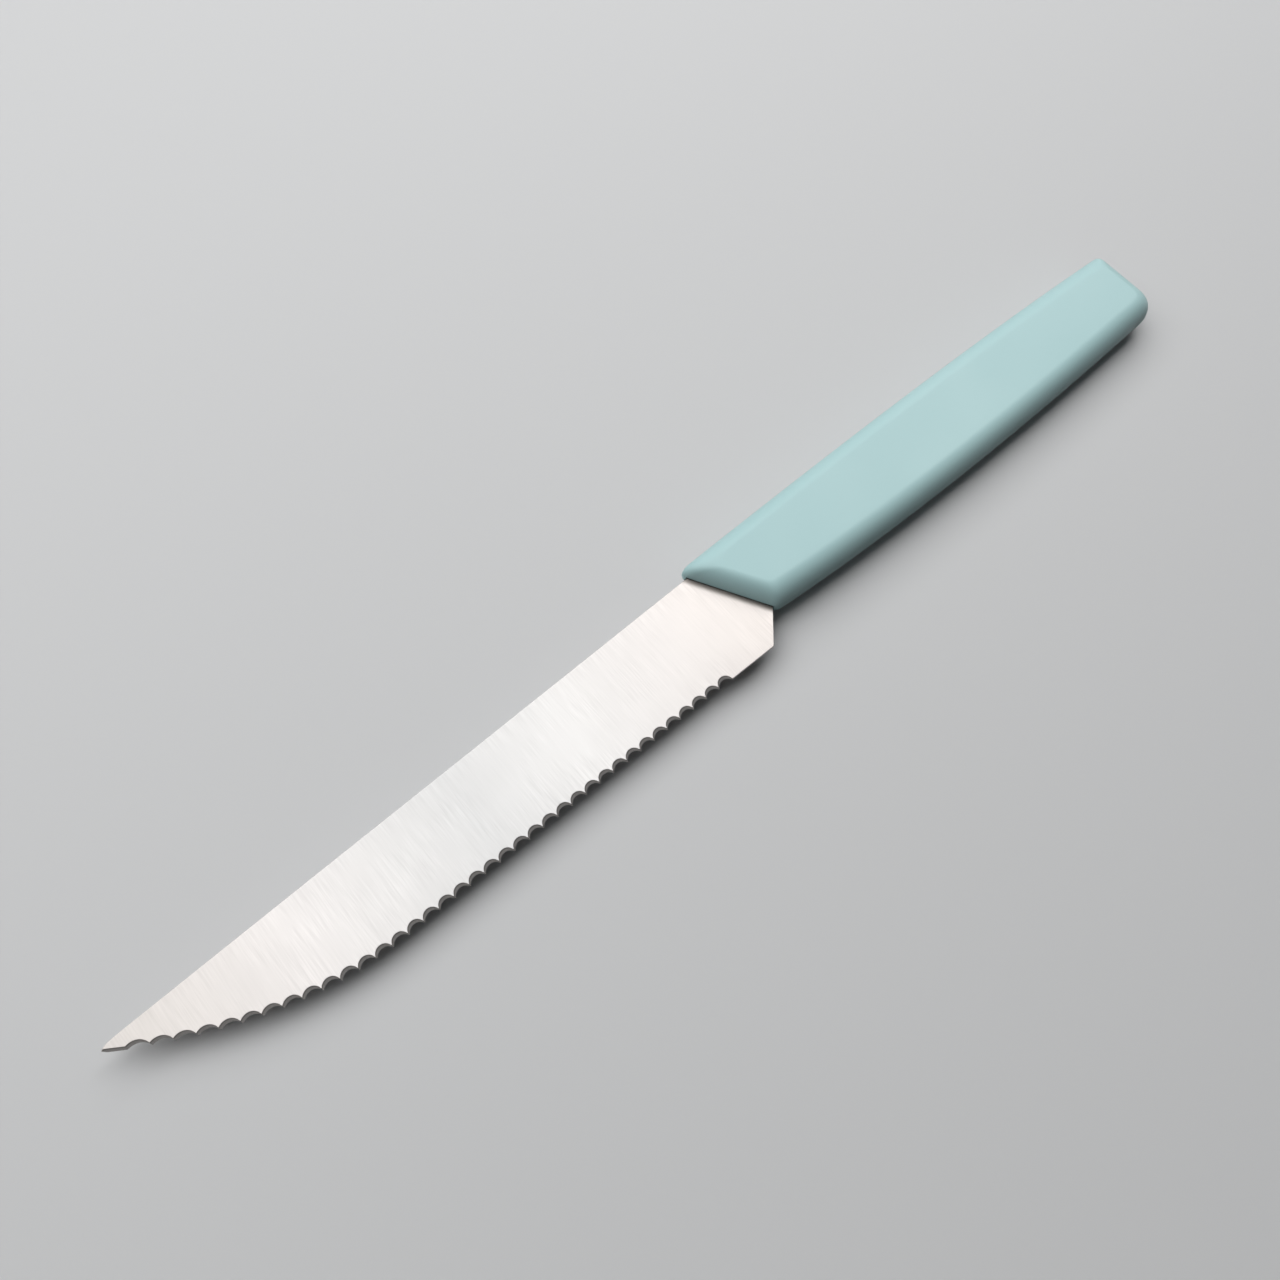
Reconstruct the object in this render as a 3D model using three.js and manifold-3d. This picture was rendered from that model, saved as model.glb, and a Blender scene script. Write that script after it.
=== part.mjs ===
// Steak knife lying on its side: a taper-ground steel blade with a scalloped edge, and a moulded handle
// that holds the blade's tang. Millimetres: +X runs from the point to the butt, +Y to the spine, +Z up.
import * as THREE from 'three';
import { mergeVertices } from 'three/addons/utils/BufferGeometryUtils.js';
import Module from 'manifold-3d';

// Blade outline. X is zero where the spine enters the handle, and depths run down from the spine.
const BLADE_LENGTH = 121.4;
const POINT_DEPTH = 0.8;
const POINT_EASE = 2;
const BELLY_LENGTH = 44.6;
const BELLY_DEPTH = 17.6;
const HEEL_DEPTH = 20.3;
const HEEL_OVERHANG = 3;
const CHAMFER_ANGLE = 47;

// Blade section: a wedge from the spine to the edge, thinner towards the point.
const SPINE_THICKNESS = 1.4;
const POINT_THICKNESS = 0.6;
const EDGE_THICKNESS = 0.45;

// Scallops, ground into the upper face only, between the plain stretches at the heel and at the point.
const SCALLOP_PITCH = 3;
const SCALLOP_DEPTH = 1.25;
const POINT_SCALLOP_DEPTH = 0.6;
const CUSP_SETBACK = 0.25;
const POINT_CUSP_SETBACK = 0.7;
const BEVEL_ANGLE = 42;
const PLAIN_HEEL = 7;
const PLAIN_POINT = 3.2;

// Tang, the narrow tail of the blade inside the handle, with holes that the plastic flows through.
const TANG_WIDTH = 9;
const TANG_END_COVER = 39.7;
const SHOULDER_REACH = 4;
const SHOULDER_ANGLE = 60;
const LOCK_HOLE_DIAMETER = 5;
const LOCK_HOLE_SPACING = 32;
const LOCK_HOLE_INSET = 14;

// Handle outline at its widest level, in the blade's own X and depths.
const HANDLE_LENGTH = 119.9;
const HANDLE_THICKNESS = 9;
const FRONT_SLANT = 29.4;
const BUTT_SLANT = 4.2;
const BACK_RISE = 1.9;
const BACK_FALL = 1.22;
const BACK_BEND_TO_BUTT = 44.9;
const FRONT_DEPTH = 15.5;
const GRIP_DEPTH = 19.9;
const GRIP_BEND_TO_FRONT = 49.6;
const BUTT_DEPTH = 18.4;

// Roundings of the handle's rim, as the width that each side draws in up to the flat faces.
const FRONT_ROUND = 2.9;
const BACK_ROUND = 4;
const GRIP_ROUND = 3.9;

// The butt bulges as a dome in side view, a little higher than the handle, so that each flat face cuts
// the dome at a crease.
const BUTT_DOME_LENGTH = 5;
const BUTT_DOME_CUT = 0.15;

// Roundings of the outline's four corners. The one between butt and grip is tighter on the flat faces.
const FRONT_BACK_CORNER = 3;
const FRONT_GRIP_CORNER = 1.2;
const BUTT_GRIP_CORNER = 4.8;
const BUTT_GRIP_FLAT_CORNER = 1.8;
const BUTT_BACK_CORNER = 1.2;

// Gap between the tang and the pocket that holds it.
const TANG_CLEARANCE = 0.3;

// Fineness of the facets.
const BELLY_STEPS = 20;
const CURVE_STEPS = 10;
const ROUND_STEPS = 6;
const TAPER_STEPS = 16;
const SCALLOP_STEPS = 8;

const radians = THREE.MathUtils.degToRad;
const wasm = await Module();
wasm.setup();

// A solid for cutting and joining, from a closed geometry.
function solid(geometry) {
  const bare = geometry.clone();
  bare.deleteAttribute('normal');
  bare.deleteAttribute('uv');
  const merged = mergeVertices(bare);
  const vertProperties = new Float32Array(merged.attributes.position.array);
  const triVerts = new Uint32Array(merged.index.array);
  return new wasm.Manifold(new wasm.Mesh({ numProp: 3, vertProperties, triVerts }));
}

// A named mesh with flat facets, from a finished solid.
function piece(name, body, material) {
  const { vertProperties, triVerts } = body.getMesh();
  const geometry = new THREE.BufferGeometry();
  geometry.setAttribute('position', new THREE.BufferAttribute(vertProperties, 3));
  geometry.setIndex(new THREE.BufferAttribute(triVerts, 1));
  geometry.computeVertexNormals();
  const mesh = new THREE.Mesh(geometry, material);
  mesh.name = name;
  return mesh;
}

// A closed skin over rings of equal length, each ring anticlockwise seen from the far end.
function loft(rings) {
  const count = rings[0].length;
  const last = (rings.length - 1) * count;
  const points = rings.flat();
  const near = points.length;
  const far = near + 1;
  const middle = (ring) => ring.reduce((sum, p) => sum.add(p), new THREE.Vector3()).divideScalar(count);
  points.push(middle(rings[0]), middle(rings.at(-1)));
  const faces = [];
  for (let i = 0; i < count; i += 1) {
    const next = (i + 1) % count;
    faces.push(near, next, i, far, last + i, last + next);
    for (let low = 0; low < last; low += count) {
      const high = low + count;
      faces.push(low + i, low + next, high + next, low + i, high + next, high + i);
    }
  }
  const geometry = new THREE.BufferGeometry().setFromPoints(points);
  geometry.setIndex(faces);
  return geometry;
}

// The outline moved outwards by a distance, each corner kept sharp.
function grown(points, distance) {
  const side = (a, b) => {
    const along = b.clone().sub(a).normalize();
    return new THREE.Vector2(along.y, -along.x);
  };
  return points.map((point, i) => {
    const before = side(points.at(i - 1), point);
    const after = side(point, points[(i + 1) % points.length]);
    const mitre = before.clone().add(after);
    return point.clone().addScaledVector(mitre, distance / (1 + before.dot(after)));
  });
}

// The straight stretch of the edge, and the belly that leaves it smoothly and rises to the point.
const bellyStart = -(BLADE_LENGTH - BELLY_LENGTH);
const edgeSlope = (HEEL_DEPTH - BELLY_DEPTH) / (HEEL_OVERHANG - bellyStart);
const bellyMiddle = bellyStart - BELLY_LENGTH / 2;
const bellyControlDepth = BELLY_DEPTH - (edgeSlope * BELLY_LENGTH) / 2;

// How far along the belly a place lies: zero at the point, one where the straight stretch begins.
function behindPoint(x) {
  return THREE.MathUtils.clamp((x + BLADE_LENGTH) / BELLY_LENGTH, 0, 1);
}

function edgeDepth(x) {
  if (x >= bellyStart) {
    return Math.min(HEEL_DEPTH, BELLY_DEPTH + edgeSlope * (x - bellyStart));
  }
  const t = behindPoint(x);
  return (1 - t) ** 2 * POINT_DEPTH + 2 * t * (1 - t) * bellyControlDepth + t ** 2 * BELLY_DEPTH;
}

// How fast the edge's depth grows with X.
function edgeFall(x) {
  if (x >= bellyStart) {
    return edgeSlope;
  }
  const t = behindPoint(x);
  const growth = (1 - t) * (bellyControlDepth - POINT_DEPTH) + t * (BELLY_DEPTH - bellyControlDepth);
  return (2 * growth) / BELLY_LENGTH;
}

// The tang starts at the shoulder and follows the middle of the handle's front, short of the butt.
const tangDepth = (FRONT_DEPTH - BACK_RISE) / 2;
const tangHigh = tangDepth - TANG_WIDTH / 2;
const tangLow = tangDepth + TANG_WIDTH / 2;
const tangRoot = SHOULDER_REACH + tangHigh / Math.tan(radians(SHOULDER_ANGLE));
const tangReach = HANDLE_LENGTH - TANG_END_COVER;

// The blade and tang as stamped from sheet, seen flat.
function stampedOutline() {
  const chamferRun = (HEEL_DEPTH - tangLow) / Math.tan(radians(CHAMFER_ANGLE));
  const endCentre = tangReach - TANG_WIDTH / 2;
  const shape = new THREE.Shape();
  shape.moveTo(-BLADE_LENGTH, -POINT_DEPTH);
  shape.quadraticCurveTo(bellyMiddle, -bellyControlDepth, bellyStart, -BELLY_DEPTH);
  shape.lineTo(HEEL_OVERHANG, -HEEL_DEPTH);
  shape.lineTo(HEEL_OVERHANG + chamferRun, -tangLow);
  shape.lineTo(endCentre, -tangLow);
  shape.absarc(endCentre, -tangDepth, TANG_WIDTH / 2, -Math.PI / 2, Math.PI / 2);
  shape.lineTo(tangRoot, -tangHigh);
  shape.lineTo(SHOULDER_REACH, 0);
  shape.lineTo(POINT_EASE - BLADE_LENGTH, 0);
  shape.quadraticCurveTo(-BLADE_LENGTH, 0, -BLADE_LENGTH, -POINT_DEPTH);
  const points = shape.getPoints(BELLY_STEPS);
  points.pop();
  return points;
}

// The plate with its lock holes, larger outside and smaller in the holes by the given gap, and thick
// enough to grind both faces.
function stampedPlate(gap) {
  const shape = new THREE.Shape(grown(stampedOutline(), gap));
  const firstHole = tangReach - LOCK_HOLE_INSET;
  for (let x = firstHole; x >= tangRoot + LOCK_HOLE_INSET; x -= LOCK_HOLE_SPACING) {
    const hole = new THREE.Path();
    hole.absarc(x, -tangDepth, LOCK_HOLE_DIAMETER / 2 - gap, 0, 2 * Math.PI);
    shape.holes.push(hole);
  }
  const depth = 2 * (SPINE_THICKNESS + gap);
  const options = { depth, bevelEnabled: false, curveSegments: CURVE_STEPS };
  const plate = new THREE.ExtrudeGeometry(shape, options);
  return plate.translate(0, 0, -depth / 2);
}

// The wedge that both faces are ground to: one four-cornered section at each station along the blade.
function groundWedge(gap) {
  const overrun = gap + EDGE_THICKNESS;
  const stations = [-BLADE_LENGTH - overrun];
  for (let i = 0; i <= TAPER_STEPS; i += 1) {
    stations.push((BELLY_LENGTH * i) / TAPER_STEPS - BLADE_LENGTH);
  }
  stations.push(HEEL_OVERHANG, tangReach + overrun);
  const rings = stations.map((station) => {
    const ease = 1 - (1 - behindPoint(station)) ** 2;
    const spine = THREE.MathUtils.lerp(POINT_THICKNESS, SPINE_THICKNESS, ease) / 2;
    const slope = (spine - EDGE_THICKNESS / 2) / edgeDepth(station);
    const low = -edgeDepth(station) - overrun;
    const high = overrun;
    const lowHalf = spine + slope * low + gap;
    const highHalf = spine + slope * high + gap;
    return [
      new THREE.Vector3(station, low, -lowHalf),
      new THREE.Vector3(station, high, -highHalf),
      new THREE.Vector3(station, high, highHalf),
      new THREE.Vector3(station, low, lowHalf),
    ];
  });
  return loft(rings);
}

function taperedBlank(gap) {
  return solid(stampedPlate(gap)).intersect(solid(groundWedge(gap)));
}

// An even pitch fills the serrated stretch, and the wheels reach well past both faces of the edge.
const serrated = BLADE_LENGTH - PLAIN_HEEL - PLAIN_POINT;
const scallopCount = Math.round(serrated / SCALLOP_PITCH);
const pitch = serrated / scallopCount;
const bevelTilt = radians(BEVEL_ANGLE);
const wheelReach = 3 * SPINE_THICKNESS;

// The grinding directions for an edge that falls by a slope: along it, outwards, and down the bevel.
function edgeFrame(fall) {
  const along = new THREE.Vector3(1, -fall, 0).normalize();
  const outward = new THREE.Vector3(along.y, -along.x, 0);
  const down = outward.clone().multiplyScalar(Math.cos(bevelTilt)).setZ(-Math.sin(bevelTilt));
  const away = new THREE.Vector3().crossVectors(down, along);
  const turn = new THREE.Matrix4().makeBasis(along, away, down);
  return { along, outward, away, turn };
}

// One scallop's round-nosed wheel, tilted so that it leaves a crescent bevel on the upper face. All the
// wheels stand square to the spine, and each one's arc lies along its own stretch of the edge.
function scallopCutter(index) {
  const x = -PLAIN_HEEL - (index + 0.5) * pitch;
  const { along, outward } = edgeFrame(edgeFall(x));
  const { turn } = edgeFrame(0);
  const sag = THREE.MathUtils.lerp(POINT_SCALLOP_DEPTH, SCALLOP_DEPTH, behindPoint(x));
  const setback = THREE.MathUtils.lerp(POINT_CUSP_SETBACK, CUSP_SETBACK, behindPoint(x));
  const span = pitch / along.x;
  const radius = ((span / 2) ** 2 + sag ** 2) / (2 * sag);
  const nose = new THREE.Shape();
  nose.moveTo(-radius, wheelReach);
  nose.lineTo(-radius, 0);
  nose.absellipse(0, 0, radius, radius * Math.sin(bevelTilt), Math.PI, 2 * Math.PI);
  nose.lineTo(radius, wheelReach);
  const options = { depth: 2 * wheelReach, bevelEnabled: false, curveSegments: SCALLOP_STEPS };
  const wheel = new THREE.ExtrudeGeometry(nose, options);
  const chord = new THREE.Vector3(x, setback - edgeDepth(x), EDGE_THICKNESS / 2);
  const centre = chord.addScaledVector(outward, radius - sag);
  return wheel.translate(0, 0, -wheelReach).applyMatrix4(turn.setPosition(centre));
}

// The straight bevel of the plain stretch at the point, as far as the middle of the last scallop.
function pointBevelCutter() {
  const length = PLAIN_POINT + pitch / 2;
  const x = length / 2 - BLADE_LENGTH;
  const { along, away, turn } = edgeFrame(edgeFall(x));
  const block = new THREE.BoxGeometry(length / along.x, wheelReach, 2 * wheelReach);
  const foot = new THREE.Vector3(x, -edgeDepth(x), -EDGE_THICKNESS / 2);
  return block.applyMatrix4(turn.setPosition(foot.addScaledVector(away, wheelReach / 2)));
}

function makeBlade() {
  let blade = taperedBlank(0);
  for (let i = 0; i < scallopCount; i += 1) {
    blade = blade.subtract(solid(scallopCutter(i)));
  }
  return blade.subtract(solid(pointBevelCutter()));
}

// The handle's outline at a height above its middle: each side is drawn in by a share of its rounding,
// which grows from the widest level to a flat face, and the butt follows its dome.
function handleOutline(height, share) {
  const lean = Math.tan(radians(BUTT_SLANT));
  const tilt = radians(FRONT_SLANT);
  const frontAt = (y) => (FRONT_ROUND * share - y * Math.sin(tilt)) / Math.cos(tilt);
  const domeLevel = height / (HANDLE_THICKNESS / 2 + BUTT_DOME_CUT);
  const domeDraw = BUTT_DOME_LENGTH * (1 - Math.sqrt(1 - domeLevel ** 2));
  const buttAt = (y) => HANDLE_LENGTH - domeDraw + (y + BACK_FALL) * lean;
  const backDrop = BACK_ROUND * share;
  const gripLift = GRIP_ROUND * share;
  const buttGripCorner = THREE.MathUtils.lerp(BUTT_GRIP_CORNER, BUTT_GRIP_FLAT_CORNER, share);
  const corner = (lineAt, y, round) => ({ at: new THREE.Vector2(lineAt(y), y), round });
  const corners = [
    corner(frontAt, BACK_RISE - backDrop, FRONT_BACK_CORNER),
    corner(frontAt, gripLift - FRONT_DEPTH, FRONT_GRIP_CORNER),
    corner(buttAt, gripLift - BUTT_DEPTH, buttGripCorner),
    corner(buttAt, -BACK_FALL - backDrop, BUTT_BACK_CORNER),
  ];
  const half = (a, b) => a.at.clone().lerp(b.at, 0.5);
  const bends = [
    half(corners[0], corners[1]),
    new THREE.Vector2(GRIP_BEND_TO_FRONT, gripLift - GRIP_DEPTH),
    half(corners[2], corners[3]),
    new THREE.Vector2(HANDLE_LENGTH - BACK_BEND_TO_BUTT, BACK_RISE - backDrop),
  ];
  const towards = (from, to) => {
    const direction = to.clone().sub(from.at).normalize();
    return from.at.clone().addScaledVector(direction, from.round);
  };
  const shape = new THREE.Shape();
  corners.forEach((here, i) => {
    const enter = towards(here, bends.at(i - 1));
    const leave = towards(here, bends[i]);
    const end = towards(corners[(i + 1) % corners.length], bends[i]);
    if (i === 0) {
      shape.moveTo(enter.x, enter.y);
    }
    shape.quadraticCurveTo(here.at.x, here.at.y, leave.x, leave.y);
    shape.quadraticCurveTo(bends[i].x, bends[i].y, end.x, end.y);
  });
  const points = shape.getPoints(CURVE_STEPS);
  points.pop();
  return points;
}

// The handle's body: outlines stacked from the lower flat face to the upper one along a rounded rim.
function handleBody() {
  const rings = [];
  for (let i = -ROUND_STEPS; i <= ROUND_STEPS; i += 1) {
    const turn = (i / ROUND_STEPS) * (Math.PI / 2);
    const z = (HANDLE_THICKNESS / 2) * Math.sin(turn);
    const outline = handleOutline(z, 1 - Math.cos(turn));
    rings.push(outline.map((p) => new THREE.Vector3(p.x, p.y, z)));
  }
  return loft(rings);
}

// The pocket leaves plugs standing in the tang's lock holes.
function makeHandle() {
  return solid(handleBody()).subtract(taperedBlank(TANG_CLEARANCE));
}

const steel = new THREE.MeshStandardMaterial({ color: '#cccbc9', roughness: 0.35, metalness: 1 });
const plastic = new THREE.MeshStandardMaterial({ color: '#b6d7d9', roughness: 0.55, metalness: 0 });

// The knife rests on the handle's lower face, with the origin under the middle of its box.
const knife = new THREE.Group();
knife.add(piece('blade', makeBlade(), steel), piece('handle', makeHandle(), plastic));
const box = new THREE.Box3().setFromObject(knife);
const centre = box.getCenter(new THREE.Vector3());
knife.position.set(-centre.x, -centre.y, -box.min.z);

export default knife;
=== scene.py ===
"""Steak knife on a pale table: a ground steel blade with a scalloped edge, in a mint plastic handle."""
import math

import bpy
import numpy as np
from mathutils import Matrix, Vector


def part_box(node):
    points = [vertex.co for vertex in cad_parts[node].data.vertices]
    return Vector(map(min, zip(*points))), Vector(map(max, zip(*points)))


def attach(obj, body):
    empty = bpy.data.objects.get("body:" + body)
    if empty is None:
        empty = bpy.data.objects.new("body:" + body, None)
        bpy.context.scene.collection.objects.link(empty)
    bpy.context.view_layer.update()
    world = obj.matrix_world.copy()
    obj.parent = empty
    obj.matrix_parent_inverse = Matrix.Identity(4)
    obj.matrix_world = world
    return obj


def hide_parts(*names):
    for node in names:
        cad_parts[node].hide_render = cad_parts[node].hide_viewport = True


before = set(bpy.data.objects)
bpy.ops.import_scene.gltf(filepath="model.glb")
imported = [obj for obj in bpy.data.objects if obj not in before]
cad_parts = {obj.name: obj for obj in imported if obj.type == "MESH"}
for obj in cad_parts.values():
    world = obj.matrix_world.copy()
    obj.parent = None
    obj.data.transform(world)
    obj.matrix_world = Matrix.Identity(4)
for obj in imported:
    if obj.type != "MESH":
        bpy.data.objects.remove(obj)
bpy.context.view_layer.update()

MM = 0.001

# Blade outline in millimetres. X is zero where the spine enters the handle, and depths run down from
# the spine. Over the last stretch of the point the spine drops and the edge lifts a little.
BLADE_LENGTH = 121.4
POINT_DEPTH = 0.8
POINT_EASE = 2
POINT_DROP = 0.55
POINT_DROP_REACH = 0.83
POINT_LIFT_REACH = 0.9
BELLY_LENGTH = 44.6
BELLY_DEPTH = 17.6
HEEL_DEPTH = 20.3
HEEL_OVERHANG = 3
CHAMFER_ANGLE = math.radians(47)

# Blade section: a wedge from the spine to the edge, thinner towards the point and thinnest at its end.
SPINE_THICKNESS = 1.4
POINT_THICKNESS = 0.6
EDGE_THICKNESS = 0.45
POINT_THINNING = 0.6
POINT_THIN_REACH = 0.6

# Eased edges of the blade. Each share limits one of them by the stretch that it is cut from.
SPINE_EASE = 0.16
SPINE_EASE_SHARE = 0.25
HEEL_EASE = 0.1
CREASE_EASE = 0.02
CREASE_EASE_SHARE = 0.2
BEVEL_EASE_SHARE = 0.3
EASE_MIDDLE = 0.29
EDGE_LAND = 0.03
LEAST_BEVEL = 0.01
LEAST_FACE_SHARE = 0.3
FACE_BRACE = 0.03
FACE_BRACE_SHARE = 0.05

# Scallops ground into the upper face.
SCALLOP_PITCH = 3
SCALLOP_DEPTH = 1.25
POINT_SCALLOP_DEPTH = 0.6
CUSP_SETBACK = 0.25
POINT_CUSP_SETBACK = 0.7
BEVEL_SLOPE = math.tan(math.radians(42))
PLAIN_HEEL = 7
PLAIN_POINT = 3.2
CUSP_SHARPNESS = 25
HEEL_SHARPNESS = 14

# Tang inside the handle.
TANG_WIDTH = 9
TANG_REACH = 80.2
SHOULDER_REACH = 4
SHOULDER_SLOPE = math.tan(math.radians(60))

# Fineness of the blade: rows over a face and a bevel, and sections along each stretch.
FACE_ROWS = 9
BEVEL_ROWS = 5
NOSE_START = 0.05
NOSE_SECTIONS = 16
SCALLOP_SECTIONS = 32
SERRATED_OVERRUN = 1.5
HEEL_SECTIONS = 12
CORNER_REACH = 0.8
CORNER_SECTIONS = 14
CHAMFER_SECTIONS = 24
TANG_SECTIONS = 12
TANG_END_TURN = 1.53
TANG_END_SECTIONS = 10
STATION_DIGITS = 4

# Handle outline at its widest level, and the roundings of its rim and corners.
HANDLE_LENGTH = 119.9
HALF_HANDLE = 4.5
FRONT_SLANT = math.radians(29.4)
BUTT_LEAN = math.tan(math.radians(4.2))
BACK_RISE = 1.9
BACK_FALL = 1.22
BACK_BEND_TO_BUTT = 44.9
FRONT_DEPTH = 15.5
GRIP_DEPTH = 19.9
GRIP_BEND_TO_FRONT = 49.6
BUTT_DEPTH = 18.4
FRONT_ROUND = 2.9
BACK_ROUND = 4
GRIP_ROUND = 3.9
BUTT_DOME_LENGTH = 5
BUTT_DOME_CUT = 0.15
FRONT_BACK_CORNER = 3
FRONT_GRIP_CORNER = 1.2
BUTT_GRIP_CORNER = 4.8
BUTT_GRIP_FLAT_CORNER = 1.8
BUTT_BACK_CORNER = 1.2

# Finish of the handle: the gap along the steel, the fine parting line, and the room that both need.
SEAM_GAP = 0.2
LIP_STEP = 0.02
PARTING_LEVELS = (0.04, 0.1)
PARTING_PROUD = 0.04
SKIN_ALLOWANCE = 0.05
FLAT_INSET = 0.2

# Fineness of the handle. Both ends of the seam split a corner of the front in two. The last row is for
# the grip, the butt's corner, the butt, its other corner and the back.
RIM_STEPS = 24
POCKET_TURN_STEPS = 17
BACK_CORNER_STEPS = (12, 8)
FRONT_STEPS = 40
GRIP_CORNER_STEPS = (5, 12)
OTHER_STEPS = (64, 18, 24, 12, 64)
SEAM_HALVINGS = 40
SHARP_ANGLE = math.radians(28)

# Limits between which a noise texture turns into lines, patches, hairlines and smudges.
LINE_SPAN = (0.34, 0.66)
PATCH_SPAN = (0.38, 0.62)
HAIRLINE_SPAN = (0.68, 0.76)
SCRATCHED_SPAN = (0.5, 0.62)
SMUDGE_SPAN = (0.35, 0.68)
FINE_LINES_SHARE = 0.65
COARSE_LINES_SHARE = 0.35
SCRATCH_WAYS = ((0.5, 1.0), (-0.9, 1.3))
SCRATCH_STRETCH = (110.0, 4200.0)
SCRATCH_DEPTH_STRETCH = 900.0

# Steel of the blade's faces. Tones run from the point to the seam, as shares of the way between two X.
# Bands are distances in metres from the spine or the seam, where an effect begins and where it is full.
# The tones are painted reflection: brighter and greyer stretches along the blade.
FACE_REFLECTION_ENDS = (-0.121, 0.012)
FACE_REFLECTION_TONES = (
    (0.05, (0.471, 0.445, 0.425)),
    (0.23, (0.53, 0.508, 0.496)),
    (0.38, (0.517, 0.508, 0.5)),
    (0.49, (0.481, 0.478, 0.474)),
    (0.65, (0.544, 0.534, 0.525)),
    (0.8, (0.535, 0.512, 0.498)),
    (0.95, (0.515, 0.48, 0.457)),
)
FACE_LINE_STRETCH = (4200.0, 190.0, 190.0)
FACE_PATCH_SCALE = 130.0
SPINE_BAND = (0.0035, 0.001)
SPINE_LINES = (0.25, 0.8)
LINE_TONES = (0.94, 1.06)
# Painted reflection of the taper grind: the faces a little lighter towards the edge than at the spine.
EDGE_REFLECTION_BAND = 0.014
EDGE_REFLECTION_TONES = (1.04, 0.985)
# Painted shadow of the handle's front: the steel darkened in a narrow band along the seam.
SEAM_SHADE_BAND = (0.0014, 0.0003)
SEAM_SHADE_STRENGTH = 0.8
SEAM_SHADE_TONE = (0.1, 0.085, 0.075)
FACE_ROUGHNESS = (0.335, 0.3)
FACE_SMUDGES = (-0.01, 0.04)
FACE_BUMP = (0.04, 0.00002)

# Steel of the scallops' bevels. Tones of painted reflection run from a bevel's dark upper rim down to the
# edge.
BEVEL_REFLECTION_TONES = (
    (0.0, (0.17, 0.158, 0.149)),
    (0.2, (0.2, 0.187, 0.178)),
    (0.36, (0.33, 0.311, 0.298)),
    (0.86, (0.35, 0.333, 0.32)),
    (1.0, (0.38, 0.368, 0.357)),
)
BEVEL_LINE_STRETCH = (6500.0, 250.0, 250.0)
BEVEL_PATCH_SCALE = 420.0
BEVEL_LINE_TONE = (0.24, 0.227, 0.219)
BEVEL_LINE_SHARE = 0.5
BEVEL_ROUGHNESS = (0.48, 0.58)
BEVEL_BUMP = (0.15, 0.00004)

# Plastic of the handle.
PLASTIC_TONES = ((0.475, 0.712, 0.722), (0.495, 0.73, 0.738))
PLASTIC_TONE_SPAN = (0.35, 0.65)
RUBBED_TONE = (0.54, 0.765, 0.77)
RUBBED_SHARE = 0.35
SCRATCH_DENSITY = 0.6
SKIN_SPAN = (0.3, 0.7)
SKIN_ROUGHNESS = (0.4, 0.47)
SKIN_SMUDGES = (-0.05, 0.04)
SKIN_BUMP = (0.15, 0.00004)
PLASTIC_IOR = 1.48

# Stage in metres. Table and room have one colour where they are seen, and a dark one in the light that
# they throw on the knife. The room is pale up to its walls' top, given as a share of straight up.
TABLE_REACH = 0.62
TABLE_FADE_START = 0.25
TABLE_SEEN = (0.68, 0.685, 0.69)
TABLE_THROWN = (0.06, 0.06, 0.06)
TABLE_ROUGHNESS = 0.7
WALL_TOP = 0.6
CEILING_START = 0.85
ROOM_SEEN = (0.54, 0.545, 0.55)
ROOM_THROWN = (0.05, 0.051, 0.052)

# The photo's camera, worked out from the evenly spaced scallops: its angles, its lens in pixels, and its
# place from where the spine enters the handle.
CAMERA_AZIMUTH = math.radians(-43.039)
CAMERA_ELEVATION = math.radians(67.064)
CAMERA_ROLL = math.radians(1.789)
CAMERA_FROM_SEAM = np.array([-60.759, -53.04, 160.44])
FOCAL_PIXELS = 960.97
IMAGE_PIXELS = 1280
SENSOR_WIDTH = 36
NEAREST_SEEN = 0.01

# The point of the blade's middle plane where the spine enters the handle, in the row frame.
blade_low, blade_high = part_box("blade")
handle_low, handle_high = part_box("handle")
ORIGIN = np.array([
    blade_low.x + BLADE_LENGTH * MM,
    blade_high.y,
    (handle_low.z + handle_high.z) / 2,
])

BELLY_START = BELLY_LENGTH - BLADE_LENGTH
EDGE_SLOPE = (HEEL_DEPTH - BELLY_DEPTH) / (HEEL_OVERHANG - BELLY_START)
BELLY_CONTROL = BELLY_DEPTH - EDGE_SLOPE * BELLY_LENGTH / 2
SERRATED = BLADE_LENGTH - PLAIN_HEEL - PLAIN_POINT
SCALLOP_COUNT = round(SERRATED / SCALLOP_PITCH)
PITCH = SERRATED / SCALLOP_COUNT
TANG_DEPTH = (FRONT_DEPTH - BACK_RISE) / 2
TANG_HIGH = TANG_DEPTH - TANG_WIDTH / 2
TANG_LOW = TANG_DEPTH + TANG_WIDTH / 2
TANG_END = TANG_REACH - TANG_WIDTH / 2
TANG_ROOT = SHOULDER_REACH + TANG_HIGH / SHOULDER_SLOPE
CHAMFER_END = HEEL_OVERHANG + (HEEL_DEPTH - TANG_LOW) / math.tan(CHAMFER_ANGLE)


def lerp(a, b, t):
    return a + (b - a) * t


def soft_max(values, sharpness):
    """The larger of several heights, with the corner between them slightly rounded."""
    top = np.max(values, axis=0)
    safe = np.where(np.isfinite(top), top, 0)
    total = np.exp(sharpness * (values - safe)).sum(axis=0)
    with np.errstate(divide="ignore"):
        return safe + np.log(total) / sharpness


def behind_point(x):
    """How far along the belly a place lies, from 0 at the point to 1 at the straight stretch."""
    return np.clip((x + BLADE_LENGTH) / BELLY_LENGTH, 0, 1)


def edge_depth(x):
    """Depth of the edge below the spine, without its scallops."""
    t = behind_point(x)
    belly = (1 - t) ** 2 * POINT_DEPTH + 2 * t * (1 - t) * BELLY_CONTROL + t ** 2 * BELLY_DEPTH
    past = np.clip((x + BLADE_LENGTH) / POINT_LIFT_REACH, 0, 1)
    lift = (POINT_DEPTH - POINT_DROP) * (1 - past) ** 2
    straight = np.minimum(HEEL_DEPTH, BELLY_DEPTH + EDGE_SLOPE * (x - BELLY_START))
    return np.where(x < BELLY_START, belly - lift, straight)


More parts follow.
